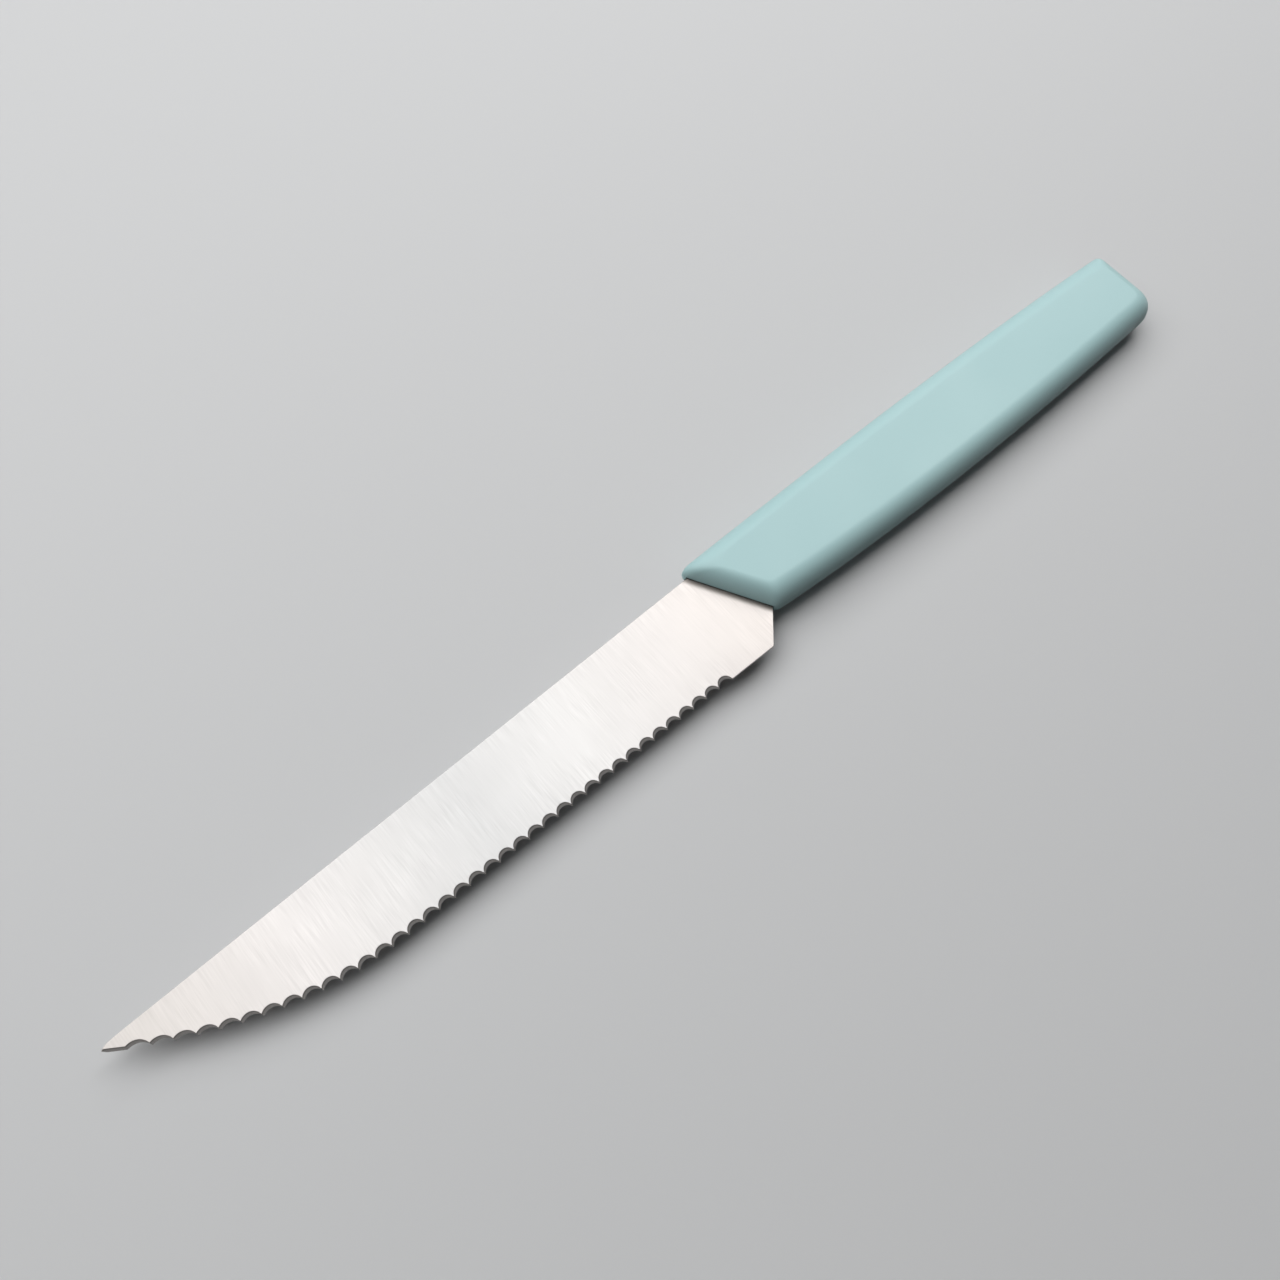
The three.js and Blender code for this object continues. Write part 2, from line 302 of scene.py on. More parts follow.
def edge_fall(x):
    """How fast the edge's depth grows with X."""
    t = behind_point(x)
    growth = (1 - t) * (BELLY_CONTROL - POINT_DEPTH) + t * (BELLY_DEPTH - BELLY_CONTROL)
    return np.where(x < BELLY_START, 2 * growth / BELLY_LENGTH, EDGE_SLOPE)


def thinning(x):
    """Share of its thickness that the steel keeps, less at the point."""
    past = np.clip((x + BLADE_LENGTH) / POINT_THIN_REACH, 0, 1)
    return lerp(POINT_THINNING, 1, past * (2 - past))


def half_edge(x):
    return EDGE_THICKNESS / 2 * thinning(x)


def half_spine(x):
    ease = 1 - (1 - behind_point(x)) ** 2
    return lerp(POINT_THICKNESS, SPINE_THICKNESS, ease) / 2 * thinning(x)


def taper(x):
    return (half_spine(x) - half_edge(x)) / edge_depth(x)


def tang_end_half(x):
    """Half the tang's width, round at its end."""
    past = np.maximum(x - TANG_END, 0)
    return np.sqrt(np.maximum((TANG_WIDTH / 2) ** 2 - past ** 2, 0))


def spine_line(x):
    """The spine, which drops at the point, then the shoulder and the tang's upper side."""
    past = np.maximum(x + BLADE_LENGTH, 0)
    nose = -POINT_DROP * np.exp(-past / POINT_DROP_REACH)
    shoulder = np.maximum(-(x - SHOULDER_REACH) * SHOULDER_SLOPE, tang_end_half(x) - TANG_DEPTH)
    return np.where(x > SHOULDER_REACH, np.minimum(shoulder, 0), nose)


def lower_line(x):
    """The edge without its scallops, then the heel's chamfer and the tang."""
    chamfer = (x - HEEL_OVERHANG) * math.tan(CHAMFER_ANGLE) - HEEL_DEPTH
    heel = soft_max(np.stack([-edge_depth(x), chamfer]), HEEL_SHARPNESS)
    return np.where(x > CHAMFER_END, -TANG_DEPTH - tang_end_half(x), heel)


def scallop_arcs(x):
    """The line that the scallops' arcs follow at the edge's upper level, one for each section."""
    middle = -PLAIN_HEEL - (np.arange(SCALLOP_COUNT) + 0.5) * PITCH
    fall = edge_fall(middle)
    stretch = np.hypot(1, fall)
    share = behind_point(middle)
    sag = lerp(POINT_SCALLOP_DEPTH, SCALLOP_DEPTH, share)
    setback = lerp(POINT_CUSP_SETBACK, CUSP_SETBACK, share)
    radius = ((PITCH * stretch / 2) ** 2 + sag ** 2) / (2 * sag)
    centre_x = middle - fall / stretch * (radius - sag)
    centre_y = setback - edge_depth(middle) - (radius - sag) / stretch
    inside = radius[:, None] ** 2 - (x[None, :] - centre_x[:, None]) ** 2
    arcs = np.where(inside > 0, centre_y[:, None] + np.sqrt(np.maximum(inside, 0)), -np.inf)
    return soft_max(arcs, CUSP_SHARPNESS)


def bevel_lines(x):
    """Each section's ground bevel as a line: a depth it passes, its height there, and its slope."""
    depth = scallop_arcs(x)
    height = half_edge(x)
    slope = np.full_like(x, BEVEL_SLOPE)
    reach = PLAIN_POINT + PITCH / 2
    foot = reach / 2 - BLADE_LENGTH
    fall = float(edge_fall(np.array(foot)))
    straight = -float(edge_depth(np.array(foot))) - fall * (x - foot)
    straight_slope = BEVEL_SLOPE / math.hypot(1, fall)
    scallop_middle = depth - height / slope
    straight_middle = straight + height / straight_slope
    plain = (x < reach - BLADE_LENGTH) & (straight_middle > scallop_middle)
    depth = np.where(plain, straight, depth)
    height = np.where(plain, -height, height)
    slope = np.where(plain, straight_slope, slope)
    return depth, height, slope


def blade_stations():
    """X of every section: close together along the scallops, wider along the heel and the tang."""
    serrated_end = SERRATED_OVERRUN - PLAIN_HEEL
    corner_start = HEEL_OVERHANG - CORNER_REACH
    corner_end = HEEL_OVERHANG + CORNER_REACH
    turn = np.linspace(0, TANG_END_TURN, TANG_END_SECTIONS)
    stretches = [
        POINT_EASE * np.linspace(NOSE_START, 1, NOSE_SECTIONS) ** 2 - BLADE_LENGTH,
        np.arange(POINT_EASE - BLADE_LENGTH, serrated_end, PITCH / SCALLOP_SECTIONS),
        np.linspace(serrated_end, corner_start, HEEL_SECTIONS),
        np.linspace(corner_start, corner_end, CORNER_SECTIONS),
        np.linspace(corner_end, CHAMFER_END, CHAMFER_SECTIONS),
        np.linspace(CHAMFER_END, TANG_END, TANG_SECTIONS),
        TANG_END + TANG_WIDTH / 2 * np.sin(turn),
        np.array([SHOULDER_REACH, TANG_ROOT]),
    ]
    return np.unique(np.concatenate(stretches).round(STATION_DIGITS))


def face_depths(start, stop):
    """Depths over a face, with a narrow strip along each border that keeps the shading between flat."""
    brace = np.clip(FACE_BRACE_SHARE * (stop - start), -FACE_BRACE, FACE_BRACE)
    inner = [lerp(start + brace, stop - brace, t) for t in np.linspace(0, 1, FACE_ROWS)]
    return [start, *inner, stop]


def blade_sections(x):
    """Closed sections of the blade as rows of Y and Z, which rows are the bevel, and where it is ground."""
    spine = spine_line(x)
    low = lower_line(x)
    half = half_spine(x)
    lean = taper(x)
    depth, height, slope = bevel_lines(x)

    def face(y):
        return half + lean * y

    def top(y):
        return np.minimum(face(y), height + slope * (y - depth))

    crease_limit = spine - LEAST_FACE_SHARE * (spine - low)
    crease = np.clip((half - height + slope * depth) / (slope - lean), low, crease_limit)
    cut = (EDGE_LAND - half - height + slope * depth) / (slope + lean)
    edge = np.clip(cut, low, crease)
    edge_height = height + slope * (edge - depth)
    edge_height = np.where(edge_height >= face(edge), EDGE_LAND - face(edge), edge_height)
    ground = crease > low + LEAST_BEVEL
    ease = np.minimum(SPINE_EASE, SPINE_EASE_SHARE * np.minimum(spine - crease, half))
    crease_ease = np.where(ground, CREASE_EASE, HEEL_EASE)
    crease_ease = np.minimum(crease_ease, CREASE_EASE_SHARE * (spine - crease))
    crease_height = top(crease)
    length = np.hypot(crease - edge, crease_height - edge_height)
    over = np.minimum(crease_ease / length, BEVEL_EASE_SHARE)

    rows = [
        (spine - ease, -face(spine - ease)),
        (spine - EASE_MIDDLE * ease, EASE_MIDDLE * ease - face(spine)),
        (spine, ease - face(spine)),
        (spine, top(spine) - ease),
        (spine - EASE_MIDDLE * ease, top(spine) - EASE_MIDDLE * ease),
    ]
    rows += [(y, top(y)) for y in face_depths(spine - ease, crease + crease_ease)]
    bevel_start = len(rows)
    for t in np.linspace(0, 1, BEVEL_ROWS):
        share = lerp(over, 1, t)
        rows.append((lerp(crease, edge, share), lerp(crease_height, edge_height, share)))
    bevel_end = len(rows) - 1
    rows += [(y, -face(y)) for y in face_depths(edge, spine - ease)[:-1]]
    y = np.stack([row[0] for row in rows], axis=1)
    z = np.stack([row[1] for row in rows], axis=1)
    return y, z, (bevel_start, bevel_end), ground


def loft_faces(loops, count):
    """Quads between neighbouring closed loops of equal length, then a face on each end."""
    faces = []
    for j in range(loops - 1):
        for i in range(count):
            k = (i + 1) % count
            faces.append((j * count + i, j * count + k, (j + 1) * count + k, (j + 1) * count + i))
    last = (loops - 1) * count
    faces.append(tuple(reversed(range(count))))
    faces.append(tuple(range(last, last + count)))
    return faces


def piece_mesh(name, points, faces, materials, marks=None):
    """A closed piece from points in millimetres and faces, shaded smooth between sharp edges."""
    mesh = bpy.data.meshes.new(name)
    place = points * MM + ORIGIN
    mesh.from_pydata(place.tolist(), [], faces)
    for material in materials:
        mesh.materials.append(material)
    if marks is not None:
        mesh.polygons.foreach_set("material_index", marks)
    mesh.validate()
    mesh.shade_smooth()
    mesh.set_sharp_from_angle(angle=SHARP_ANGLE)
    piece = bpy.data.objects.new(name, mesh)
    bpy.context.scene.collection.objects.link(piece)
    return piece


def make_blade(face_steel, bevel_steel):
    x = blade_stations()
    y, z, (bevel_start, bevel_end), ground = blade_sections(x)
    count = y.shape[1]
    points = np.stack([np.repeat(x[:, None], count, axis=1), y, z], axis=2).reshape(-1, 3)
    marks = []
    for j in range(len(x) - 1):
        scalloped = (ground[j] or ground[j + 1]) and x[j] < 0
        for i in range(count):
            marks.append(1 if scalloped and bevel_start <= i <= bevel_end else 0)
    marks += [0, 0]
    faces = loft_faces(len(x), count)
    piece = piece_mesh("knife_blade", points, faces, [face_steel, bevel_steel], marks)
    down = np.zeros((len(x), count))
    down[:, bevel_start:bevel_end + 1] = np.linspace(0, 1, BEVEL_ROWS)
    down[:, bevel_end + 1] = 1
    piece.data.attributes.new("down_bevel", "FLOAT", "POINT").data.foreach_set("value", down.ravel())
    return piece


def handle_stretches(z):
    """The outline's eight stretches at heights z, each as three controls of a quadratic curve."""
    share = 1 - np.sqrt(np.maximum(1 - (z / HALF_HANDLE) ** 2, 0))
    level = z / (HALF_HANDLE + BUTT_DOME_CUT)
    dome = BUTT_DOME_LENGTH * (1 - np.sqrt(1 - level ** 2))
    back_drop = BACK_ROUND * share
    grip_lift = GRIP_ROUND * share
    same = np.ones_like(share)

    def front(y):
        x = (FRONT_ROUND * share - y * math.sin(FRONT_SLANT)) / math.cos(FRONT_SLANT)
        return np.stack([x, y], axis=-1)

    def butt(y):
        x = HANDLE_LENGTH - dome + (y + BACK_FALL) * BUTT_LEAN
        return np.stack([x, y], axis=-1)

    corners = [
        front(BACK_RISE - back_drop),
        front(grip_lift - FRONT_DEPTH),
        butt(grip_lift - BUTT_DEPTH),
        butt(-BACK_FALL - back_drop),
    ]
    rounds = [
        FRONT_BACK_CORNER * same,
        FRONT_GRIP_CORNER * same,
        lerp(BUTT_GRIP_CORNER, BUTT_GRIP_FLAT_CORNER, share),
        BUTT_BACK_CORNER * same,
    ]
    bends = [
        (corners[0] + corners[1]) / 2,
        np.stack([GRIP_BEND_TO_FRONT * same, grip_lift - GRIP_DEPTH], axis=-1),
        (corners[2] + corners[3]) / 2,
        np.stack([(HANDLE_LENGTH - BACK_BEND_TO_BUTT) * same, BACK_RISE - back_drop], axis=-1),
    ]

    def towards(i, target):
        way = target - corners[i]
        return corners[i] + way * (rounds[i] / np.linalg.norm(way, axis=-1))[:, None]

    stretches = []
    for i in range(4):
        after = (i + 1) % 4
        leave = towards(i, bends[i])
        stretches.append((towards(i, bends[i - 1]), corners[i], leave))
        stretches.append((leave, bends[i], towards(after, bends[i])))
    return stretches


def on_stretch(stretch, t):
    return (1 - t) ** 2 * stretch[0] + 2 * t * (1 - t) * stretch[1] + t ** 2 * stretch[2]


def solve(value):
    """Where between 0 and 1 a falling value passes zero."""
    low = 0
    high = 1
    for _ in range(SEAM_HALVINGS):
        middle = (low + high) / 2
        if value(middle) > 0:
            low = middle
        else:
            high = middle
    return (low + high) / 2


def past_chamfer(point):
    """How far a point lies outside the heel's chamfer."""
    across = (point[0] - HEEL_OVERHANG) * math.sin(CHAMFER_ANGLE)
    return across - (point[1] + HEEL_DEPTH) * math.cos(CHAMFER_ANGLE)


def blade_half(y):
    """Half the steel's thickness near the seam at a depth."""
    at_heel = np.array(0.0)
    return half_spine(at_heel) + taper(at_heel) * np.minimum(y, 0)


def run_along(path):
    """Length of a path up to each of its points."""
    return np.concatenate([[0], np.cumsum(np.linalg.norm(np.diff(path, axis=0), axis=1))])


def tang_pocket(start, end, shares):
    """Points round the tang, a gap away from it, from the seam's spine end to its heel end."""
    outer = TANG_WIDTH / 2 + SEAM_GAP
    turn = np.linspace(math.pi / 2, -math.pi / 2, POCKET_TURN_STEPS)
    around = np.stack([TANG_END + outer * np.cos(turn), outer * np.sin(turn) - TANG_DEPTH], axis=1)
    path = np.vstack([
        start,
        [SHOULDER_REACH + SEAM_GAP, start[1]],
        [TANG_ROOT + SEAM_GAP, SEAM_GAP - TANG_HIGH],
        around,
        [CHAMFER_END + SEAM_GAP, -SEAM_GAP - TANG_LOW],
        end,
    ])
    steps = run_along(path)
    where = shares * steps[-1]
    return np.stack([np.interp(where, steps, path[:, 0]), np.interp(where, steps, path[:, 1])], axis=1)


def spots_on(stretch, start, end, count):
    """Places on one stretch of the outline, without the last one, where the next row begins."""
    return [(stretch, t) for t in np.linspace(start, end, count, endpoint=False)]


def outline_spots(at_blade):
    """Places round the whole outline, and which of them are the seam's first and last."""
    seam_start = solve(lambda t: on_stretch(at_blade[0], t)[0, 1] - SEAM_GAP)
    seam_end = solve(lambda t: SEAM_GAP - past_chamfer(on_stretch(at_blade[2], t)[0]))
    spots = spots_on(0, 0, seam_start, BACK_CORNER_STEPS[0])
    first = len(spots)
    spots += spots_on(0, seam_start, 1, BACK_CORNER_STEPS[1])
    spots += spots_on(1, 0, 1, FRONT_STEPS)
    spots += spots_on(2, 0, seam_end, GRIP_CORNER_STEPS[0])
    last = len(spots)
    spots += spots_on(2, seam_end, 1, GRIP_CORNER_STEPS[1])
    for stretch, count in enumerate(OTHER_STEPS, 3):
        spots += spots_on(stretch, 0, 1, count)
    return spots, first, last


def handle_loops(at_blade, spots):
    """Closed loops round the handle, one for each height from the lower flat face to the upper one."""
    rise = np.sin(np.linspace(0, math.pi / 2, RIM_STEPS))
    columns = []
    for stretch, t in spots:
        seam = on_stretch(at_blade[stretch], t)[0]
        lip = blade_half(np.clip(seam[1], -FRONT_DEPTH, 0)) + SEAM_GAP
        upper = np.concatenate([PARTING_LEVELS, [lip - LIP_STEP], lip + (HALF_HANDLE - lip) * rise])
        z = np.concatenate([-upper[::-1], upper])
        flat = on_stretch(handle_stretches(z)[stretch], t)
        columns.append(np.column_stack([flat, z]))
    return np.stack(columns, axis=1)


def open_pocket(seam_loops, seam):
    """Moves the levels beside the steel, between both ends of the seam, inwards round the tang."""
    middle = seam_loops.shape[0] // 2
    deep = len(PARTING_LEVELS) + 1
    along = run_along(seam)
    inner = tang_pocket(seam[0], seam[-1], along / along[-1])[1:-1]
    inner_half = blade_half(inner[:, 1]) + SEAM_GAP - LIP_STEP
    levels = seam_loops[middle - deep:middle + deep, 1:-1]
    levels[..., :2] = inner
    levels[0, :, 2] = -inner_half
    levels[-1, :, 2] = inner_half


def make_handle(plastic):
    at_blade = handle_stretches(np.array([SPINE_THICKNESS / 2]))
    spots, first, last = outline_spots(at_blade)
    loops = handle_loops(at_blade, spots)
    on_seam = slice(first, last + 1)
    seam = loops[loops.shape[0] // 2, on_seam, :2].copy()

    ahead = np.roll(loops, -1, axis=1) - np.roll(loops, 1, axis=1)
    outward = np.stack([ahead[..., 1], -ahead[..., 0]], axis=-1)
    outward /= np.linalg.norm(outward, axis=-1, keepdims=True)
    parting = np.isclose(np.abs(loops[..., 2]), PARTING_LEVELS[0])
    draw = np.where(parting, PARTING_PROUD, 0) - SKIN_ALLOWANCE
    loops[..., :2] += outward * draw[..., None]
    open_pocket(loops[:, on_seam], seam)

    lower_flat = loops[:1].copy()
    upper_flat = loops[-1:].copy()
    lower_flat[..., :2] -= outward[:1] * FLAT_INSET
    upper_flat[..., :2] -= outward[-1:] * FLAT_INSET
    loops = np.concatenate([lower_flat, loops, upper_flat])
    faces = loft_faces(loops.shape[0], loops.shape[1])
    return piece_mesh("knife_handle", loops.reshape(-1, 3), faces, [plastic])


def node(tree, kind, values=(), **settings):
    """A shader node with its settings and its unlinked inputs, given by name or place."""
    made = tree.nodes.new("ShaderNode" + kind)
    for key, value in settings.items():
        setattr(made, key, value)
    for key, value in dict(values).items():
        made.inputs[key].default_value = value
    return made


def new_group(name, inputs, outputs):
    group = bpy.data.node_groups.new(name, "ShaderNodeTree")
    for label, kind, value in inputs:
        socket = group.interface.new_socket(name=label, in_out="INPUT", socket_type="NodeSocket" + kind)
        if value is not None:
            socket.default_value = value
    for label, kind in outputs:
        group.interface.new_socket(name=label, in_out="OUTPUT", socket_type="NodeSocket" + kind)
    return group, group.nodes.new("NodeGroupInput"), group.nodes.new("NodeGroupOutput")


def remap(tree, source, span, to_span=(0.0, 1.0), kind="LINEAR"):
    """A value carried from one span to another, and held at the ends."""
    values = {1: span[0], 2: span[1], 3: to_span[0], 4: to_span[1]}
    made = node(tree, "MapRange", values, interpolation_type=kind)
    tree.links.new(source, made.inputs[0])
    return made.outputs[0]


def math_node(tree, operation, *values):
    made = node(tree, "Math", operation=operation)
    for i, value in enumerate(values):
        if isinstance(value, (int, float)):
            made.inputs[i].default_value = value
        else:
            tree.links.new(value, made.inputs[i])
    return made.outputs[0]


def noise(tree, place, **values):
    """A noise texture at a place, with its inputs given by name."""
    made = node(tree, "TexNoise", values)
    tree.links.new(place, made.inputs["Vector"])
    return made


def grinding_lines_group():
    """Fine grinding lines in patches, which run along one direction of the place that is fed in."""
    group, into, out = new_group(
        "grinding_lines",
        [
            ("Place", "Vector", None),
            ("Line Stretch", "Vector", FACE_LINE_STRETCH),
            ("Patch Scale", "Float", FACE_PATCH_SCALE),
        ],
        [("Lines", "Float"), ("Patches", "Float")],
    )
    place = into.outputs["Place"]
    stretched = node(group, "VectorMath", operation="MULTIPLY")
    group.links.new(place, stretched.inputs[0])
    group.links.new(into.outputs["Line Stretch"], stretched.inputs[1])
    fine = noise(group, stretched.outputs[0], Scale=1.0, Detail=1.0, Roughness=0.5)
    coarse = noise(group, stretched.outputs[0], Scale=0.4, Detail=1.0, Roughness=0.5)
    patch = noise(group, place, Detail=2.0, Roughness=0.55)
    group.links.new(into.outputs["Patch Scale"], patch.inputs["Scale"])
    fine_part = math_node(group, "MULTIPLY", fine.outputs[0], FINE_LINES_SHARE)
    both = math_node(group, "MULTIPLY_ADD", coarse.outputs[0], COARSE_LINES_SHARE, fine_part)
    group.links.new(remap(group, both, LINE_SPAN), out.inputs["Lines"])
    group.links.new(remap(group, patch.outputs[0], PATCH_SPAN), out.inputs["Patches"])
    return group


def handling_marks_group():
    """Hairline scratches in two directions, and broad faint smudges."""
    group, into, out = new_group(
        "handling_marks",
        [("Place", "Vector", None), ("Density", "Float", SCRATCH_DENSITY)],
        [("Scratches", "Float"), ("Smudges", "Float")],
    )
    place = into.outputs["Place"]
    hairlines = []
    for angle, scale in SCRATCH_WAYS:
        turned = node(group, "VectorRotate", {"Angle": angle}, rotation_type="Z_AXIS")
        group.links.new(place, turned.inputs["Vector"])
        stretch = (SCRATCH_STRETCH[0] * scale, SCRATCH_STRETCH[1] * scale, SCRATCH_DEPTH_STRETCH)
        stretched = node(group, "VectorMath", {1: stretch}, operation="MULTIPLY")
        group.links.new(turned.outputs[0], stretched.inputs[0])
        hair = noise(group, stretched.outputs[0], Scale=1.0, Detail=1.0, Roughness=0.4)
        hairlines.append(remap(group, hair.outputs[0], HAIRLINE_SPAN))
    lines = math_node(group, "MAXIMUM", *hairlines)
    sparse = noise(group, place, Scale=85.0, Detail=1.0)
    scratched = math_node(group, "MULTIPLY", lines, remap(group, sparse.outputs[0], SCRATCHED_SPAN))
    scratches = math_node(group, "MULTIPLY", scratched, into.outputs["Density"])
    group.links.new(scratches, out.inputs["Scratches"])
    smudge = noise(group, place, Scale=38.0, Detail=3.0, Roughness=0.55, Distortion=0.6)
    group.links.new(remap(group, smudge.outputs[0], SMUDGE_SPAN), out.inputs["Smudges"])
    return group


def new_material(name, fixed):
    """A material with one principled shader, and the place on the piece in metres."""
    material = bpy.data.materials.new(name)
    material.use_nodes = True
    tree = material.node_tree
    shader = tree.nodes["Principled BSDF"]
    for label, value in fixed.items():
        shader.inputs[label].default_value = value
    place = node(tree, "TexCoord").outputs["Object"]
    return material, tree, shader, place


def blend_colour(tree, factor, first, second):
    made = node(tree, "Mix", data_type="RGBA")
    tree.links.new(factor, made.inputs[0])
    for i, value in ((6, first), (7, second)):
        if isinstance(value, tuple):
            made.inputs[i].default_value = (*value, 1.0)
        else:
            tree.links.new(value, made.inputs[i])
    return made.outputs[2]


def placed_group(tree, group, place, values):
    made = node(tree, "Group", values, node_tree=group)
    tree.links.new(place, made.inputs["Place"])
    return made


def bump(tree, height, shader, settings):
    """Relief from a height, with its strength and its distance in metres."""
    made = node(tree, "Bump", {"Strength": settings[0], "Distance": settings[1]})
    tree.links.new(height, made.inputs["Height"])
    tree.links.new(made.outputs[0], shader.inputs["Normal"])


def tone_ramp(tree, factor, stops):
    """A colour that changes through several stops."""
    made = node(tree, "ValToRGB")
    tree.links.new(factor, made.inputs[0])
    elements = made.color_ramp.elements
    while len(elements) < len(stops):
        elements.new(1.0)
    for element, (position, colour) in zip(elements, stops):
        element.position = position
        element.color = (*colour, 1.0)
    return made.outputs[0]


def below_spine(band):
    """Two places down from the spine, as Y in the row frame."""
    return [ORIGIN[1] - distance for distance in band]


def taper_ground_steel(lines_group, marks_group):
    """Faces: satin, grinding lines square to the spine, painted reflection tones, painted shade by the
    seam.
    """
    material, tree, shader, place = new_material("taper_ground_steel", {"Metallic": 1.0})
    line_values = {"Line Stretch": FACE_LINE_STRETCH, "Patch Scale": FACE_PATCH_SCALE}
    ground = placed_group(tree, lines_group, place, line_values)
    marks = placed_group(tree, marks_group, place, {})
    spread = node(tree, "SeparateXYZ")
    tree.links.new(place, spread.inputs[0])

    near_spine = remap(tree, spread.outputs[1], below_spine(SPINE_BAND), SPINE_LINES)
    strength = math_node(tree, "MAXIMUM", ground.outputs["Patches"], near_spine)
    either_way = remap(tree, ground.outputs["Lines"], (0.0, 1.0), (-1.0, 1.0))
    shown = math_node(tree, "MULTIPLY", either_way, strength)

    # Painted reflection: brighter and greyer stretches from the point to the seam.
    reflection_tone = tone_ramp(tree, remap(tree, spread.outputs[0], FACE_REFLECTION_ENDS), FACE_REFLECTION_TONES)
    # Painted reflection: the face lighter towards the edge, darker along the spine.
    edge_reflection = remap(tree, spread.outputs[1], below_spine((EDGE_REFLECTION_BAND, 0)), EDGE_REFLECTION_TONES)
    line_tone = remap(tree, shown, (-1.0, 1.0), LINE_TONES)
    lined = node(tree, "VectorMath", operation="SCALE")
    tree.links.new(reflection_tone, lined.inputs[0])
    tree.links.new(math_node(tree, "MULTIPLY", line_tone, edge_reflection), lined.inputs["Scale"])

    # Painted shade: close to the handle's front the colour darkens into the seam's tone, where its shadow
    # falls.
    across_seam = (math.cos(FRONT_SLANT), math.sin(FRONT_SLANT), 0.0)
    to_seam = node(tree, "VectorMath", {1: across_seam}, operation="DOT_PRODUCT")
    tree.links.new(place, to_seam.inputs[0])
    seam = float(np.dot(ORIGIN, across_seam))
    seam_shade_span = [seam - distance for distance in SEAM_SHADE_BAND]
    seam_shade = remap(tree, to_seam.outputs["Value"], seam_shade_span, (0.0, SEAM_SHADE_STRENGTH), "SMOOTHSTEP")
    tree.links.new(blend_colour(tree, seam_shade, lined.outputs[0], SEAM_SHADE_TONE), shader.inputs["Base Color"])

    line_roughness = remap(tree, shown, (-1.0, 1.0), FACE_ROUGHNESS)
    smudges = remap(tree, marks.outputs["Smudges"], (0.0, 1.0), FACE_SMUDGES)
    tree.links.new(math_node(tree, "ADD", line_roughness, smudges), shader.inputs["Roughness"])
    bump(tree, shown, shader, FACE_BUMP)
    return material


def scallop_ground_steel(lines_group):
    """Scallop bevels: rougher ground, with painted reflection dark along the upper rim, lighter to the
    edge.
    """
    material, tree, shader, place = new_material("scallop_ground_steel", {"Metallic": 1.0})
    line_values = {"Line Stretch": BEVEL_LINE_STRETCH, "Patch Scale": BEVEL_PATCH_SCALE}
    ground = placed_group(tree, lines_group, place, line_values)
    down = node(tree, "Attribute", attribute_name="down_bevel").outputs["Fac"]
    # Painted reflection: dark along each bevel's upper rim, lighter down to the edge.
    reflection_tone = tone_ramp(tree, down, BEVEL_REFLECTION_TONES)
    lines = remap(tree, ground.outputs["Lines"], (0.0, 1.0), (0.0, BEVEL_LINE_SHARE))
    tree.links.new(blend_colour(tree, lines, reflection_tone, BEVEL_LINE_TONE), shader.inputs["Base Color"])
    roughness = remap(tree, ground.outputs["Patches"], (0.0, 1.0), BEVEL_ROUGHNESS)
    tree.links.new(roughness, shader.inputs["Roughness"])
    bump(tree, ground.outputs["Lines"], shader, BEVEL_BUMP)
    return material


def mint_satin_plastic(marks_group):
    """The handle: satin moulded plastic with a fine skin texture and faint handling marks."""
    fixed = {"Metallic": 0.0, "IOR": PLASTIC_IOR}
    material, tree, shader, place = new_material("mint_satin_plastic", fixed)
    marks = placed_group(tree, marks_group, place, {"Density": SCRATCH_DENSITY})
    skin = noise(tree, place, Scale=3800.0, Detail=2.0, Roughness=0.6)
    cloud = noise(tree, place, Scale=24.0, Detail=2.0, Roughness=0.5)
    base = blend_colour(tree, remap(tree, cloud.outputs[0], PLASTIC_TONE_SPAN), *PLASTIC_TONES)
    rubbed = remap(tree, marks.outputs["Scratches"], (0.0, 1.0), (0.0, RUBBED_SHARE))
    tree.links.new(blend_colour(tree, rubbed, base, RUBBED_TONE), shader.inputs["Base Color"])
    skin_roughness = remap(tree, skin.outputs[0], SKIN_SPAN, SKIN_ROUGHNESS)
    smudges = remap(tree, marks.outputs["Smudges"], (0.0, 1.0), SKIN_SMUDGES)
    tree.links.new(math_node(tree, "ADD", skin_roughness, smudges), shader.inputs["Roughness"])
    bump(tree, skin.outputs[0], shader, SKIN_BUMP)
    return material


def seen_directly(tree):
    """1 for what the camera, a reflection or glass shows, 0 for light thrown from one thing on another."""
    ray = node(tree, "LightPath")
    seen = math_node(tree, "MAXIMUM", ray.outputs["Is Camera Ray"], ray.outputs["Is Glossy Ray"])
    return math_node(tree, "MAXIMUM", seen, ray.outputs["Is Transmission Ray"])


def pale_table():
    """A wide plain floor under the knife, which fades into the pale room around it."""
    mesh = bpy.data.meshes.new("pale_table")
    ways = ((-1, -1), (1, -1), (1, 1), (-1, 1))
    corners = [(x * TABLE_REACH, y * TABLE_REACH, 0) for x, y in ways]
    mesh.from_pydata(corners, [], [(0, 1, 2, 3)])
    material, tree, shader, place = new_material("pale_table_top", {"Roughness": TABLE_ROUGHNESS})
    pale = blend_colour(tree, seen_directly(tree), TABLE_THROWN, TABLE_SEEN)
    tree.links.new(pale, shader.inputs["Base Color"])
    outward = node(tree, "VectorMath", operation="LENGTH")
    tree.links.new(place, outward.inputs[0])
    fade = (TABLE_FADE_START, TABLE_REACH)
    kept = remap(tree, outward.outputs["Value"], fade, (1.0, 0.0), "SMOOTHSTEP")
    tree.links.new(kept, shader.inputs["Alpha"])
    mesh.materials.append(material)
    table = bpy.data.objects.new("pale_table", mesh)
    bpy.context.scene.collection.objects.link(table)


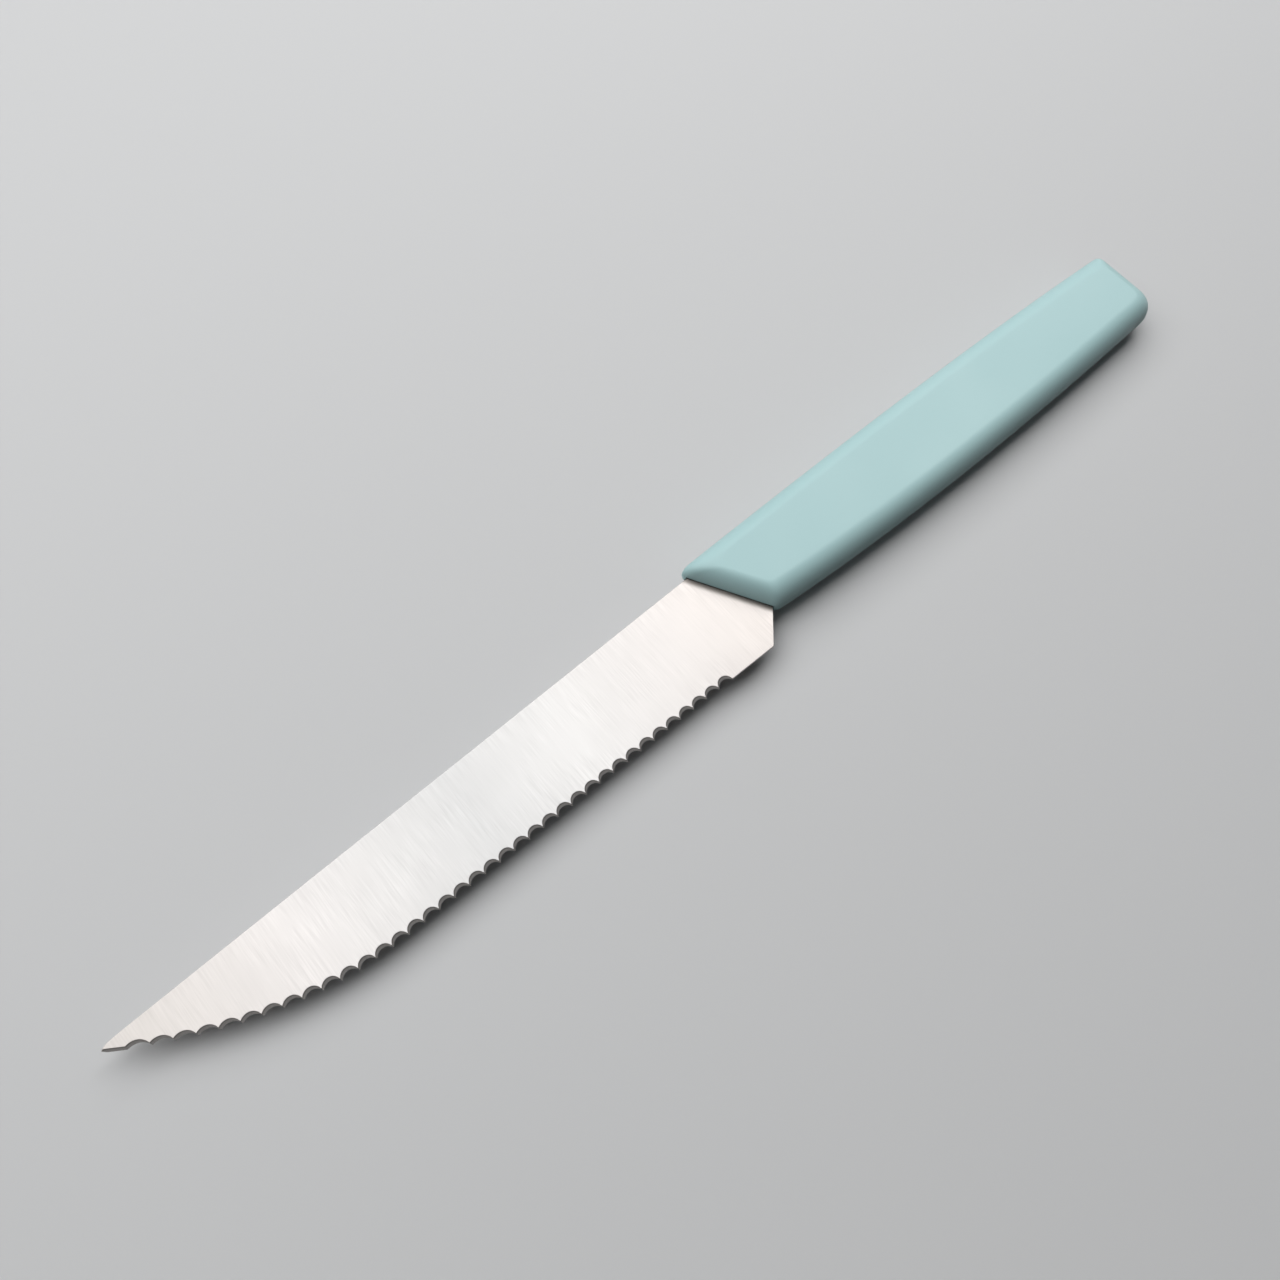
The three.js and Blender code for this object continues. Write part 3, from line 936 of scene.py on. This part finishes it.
def softbox(name, place, aim, width, depth, power):
    lamp = bpy.data.lights.new(name, "AREA")
    lamp.shape = "RECTANGLE"
    lamp.size = width
    lamp.size_y = depth
    lamp.energy = power
    holder = bpy.data.objects.new(name, lamp)
    holder.location = place
    holder.rotation_euler = (Vector(aim) - Vector(place)).to_track_quat("-Z", "Y").to_euler()
    bpy.context.scene.collection.objects.link(holder)


def studio_light():
    """A wide soft light overhead, a small one for the sheen, and a room with pale walls."""
    softbox(
        "overhead_softbox",
        place=(0.12, 0.38, 0.62),
        aim=(0.135, 0.16, 0.0),
        width=1.7,
        depth=0.78,
        power=7.95,
    )
    softbox(
        "sheen_softbox",
        place=(0.48, 0.156, 0.548),
        aim=(0.06, 0.0, 0.009),
        width=0.3,
        depth=0.3,
        power=0.5,
    )
    world = bpy.data.worlds.new("studio_room")
    world.use_nodes = True
    tree = world.node_tree
    spread = node(tree, "SeparateXYZ")
    tree.links.new(node(tree, "TexCoord").outputs["Generated"], spread.inputs[0])
    walls = remap(tree, spread.outputs[2], (WALL_TOP, CEILING_START), (1.0, 0.0))
    shown = math_node(tree, "MULTIPLY", walls, seen_directly(tree))
    room = blend_colour(tree, shown, ROOM_THROWN, ROOM_SEEN)
    tree.links.new(room, tree.nodes["Background"].inputs["Color"])
    bpy.context.scene.world = world


def photo_camera():
    level = math.cos(CAMERA_ELEVATION)
    back = Vector((
        math.sin(CAMERA_AZIMUTH) * level,
        -math.cos(CAMERA_AZIMUTH) * level,
        math.sin(CAMERA_ELEVATION),
    ))
    right = Vector((math.cos(CAMERA_AZIMUTH), math.sin(CAMERA_AZIMUTH), 0))
    up = back.cross(right)
    across = right * math.cos(CAMERA_ROLL) + up * math.sin(CAMERA_ROLL)
    upright = up * math.cos(CAMERA_ROLL) - right * math.sin(CAMERA_ROLL)
    lens = bpy.data.cameras.new("photo_camera")
    lens.sensor_width = SENSOR_WIDTH
    lens.lens = FOCAL_PIXELS / IMAGE_PIXELS * SENSOR_WIDTH
    lens.clip_start = NEAREST_SEEN
    camera = bpy.data.objects.new("photo_camera", lens)
    turned = Matrix((across, upright, back)).transposed().to_4x4()
    camera.matrix_world = Matrix.Translation(ORIGIN + CAMERA_FROM_SEAM * MM) @ turned
    bpy.context.scene.collection.objects.link(camera)
    bpy.context.scene.camera = camera


bpy.context.scene.view_settings.view_transform = "Standard"
photo_camera()
studio_light()
pale_table()

grinding_lines = grinding_lines_group()
handling_marks = handling_marks_group()
face_steel = taper_ground_steel(grinding_lines, handling_marks)
bevel_steel = scallop_ground_steel(grinding_lines)
blade = make_blade(face_steel, bevel_steel)
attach(blade, "root")
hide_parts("blade")
handle = make_handle(mint_satin_plastic(handling_marks))
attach(handle, "root")
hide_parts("handle")
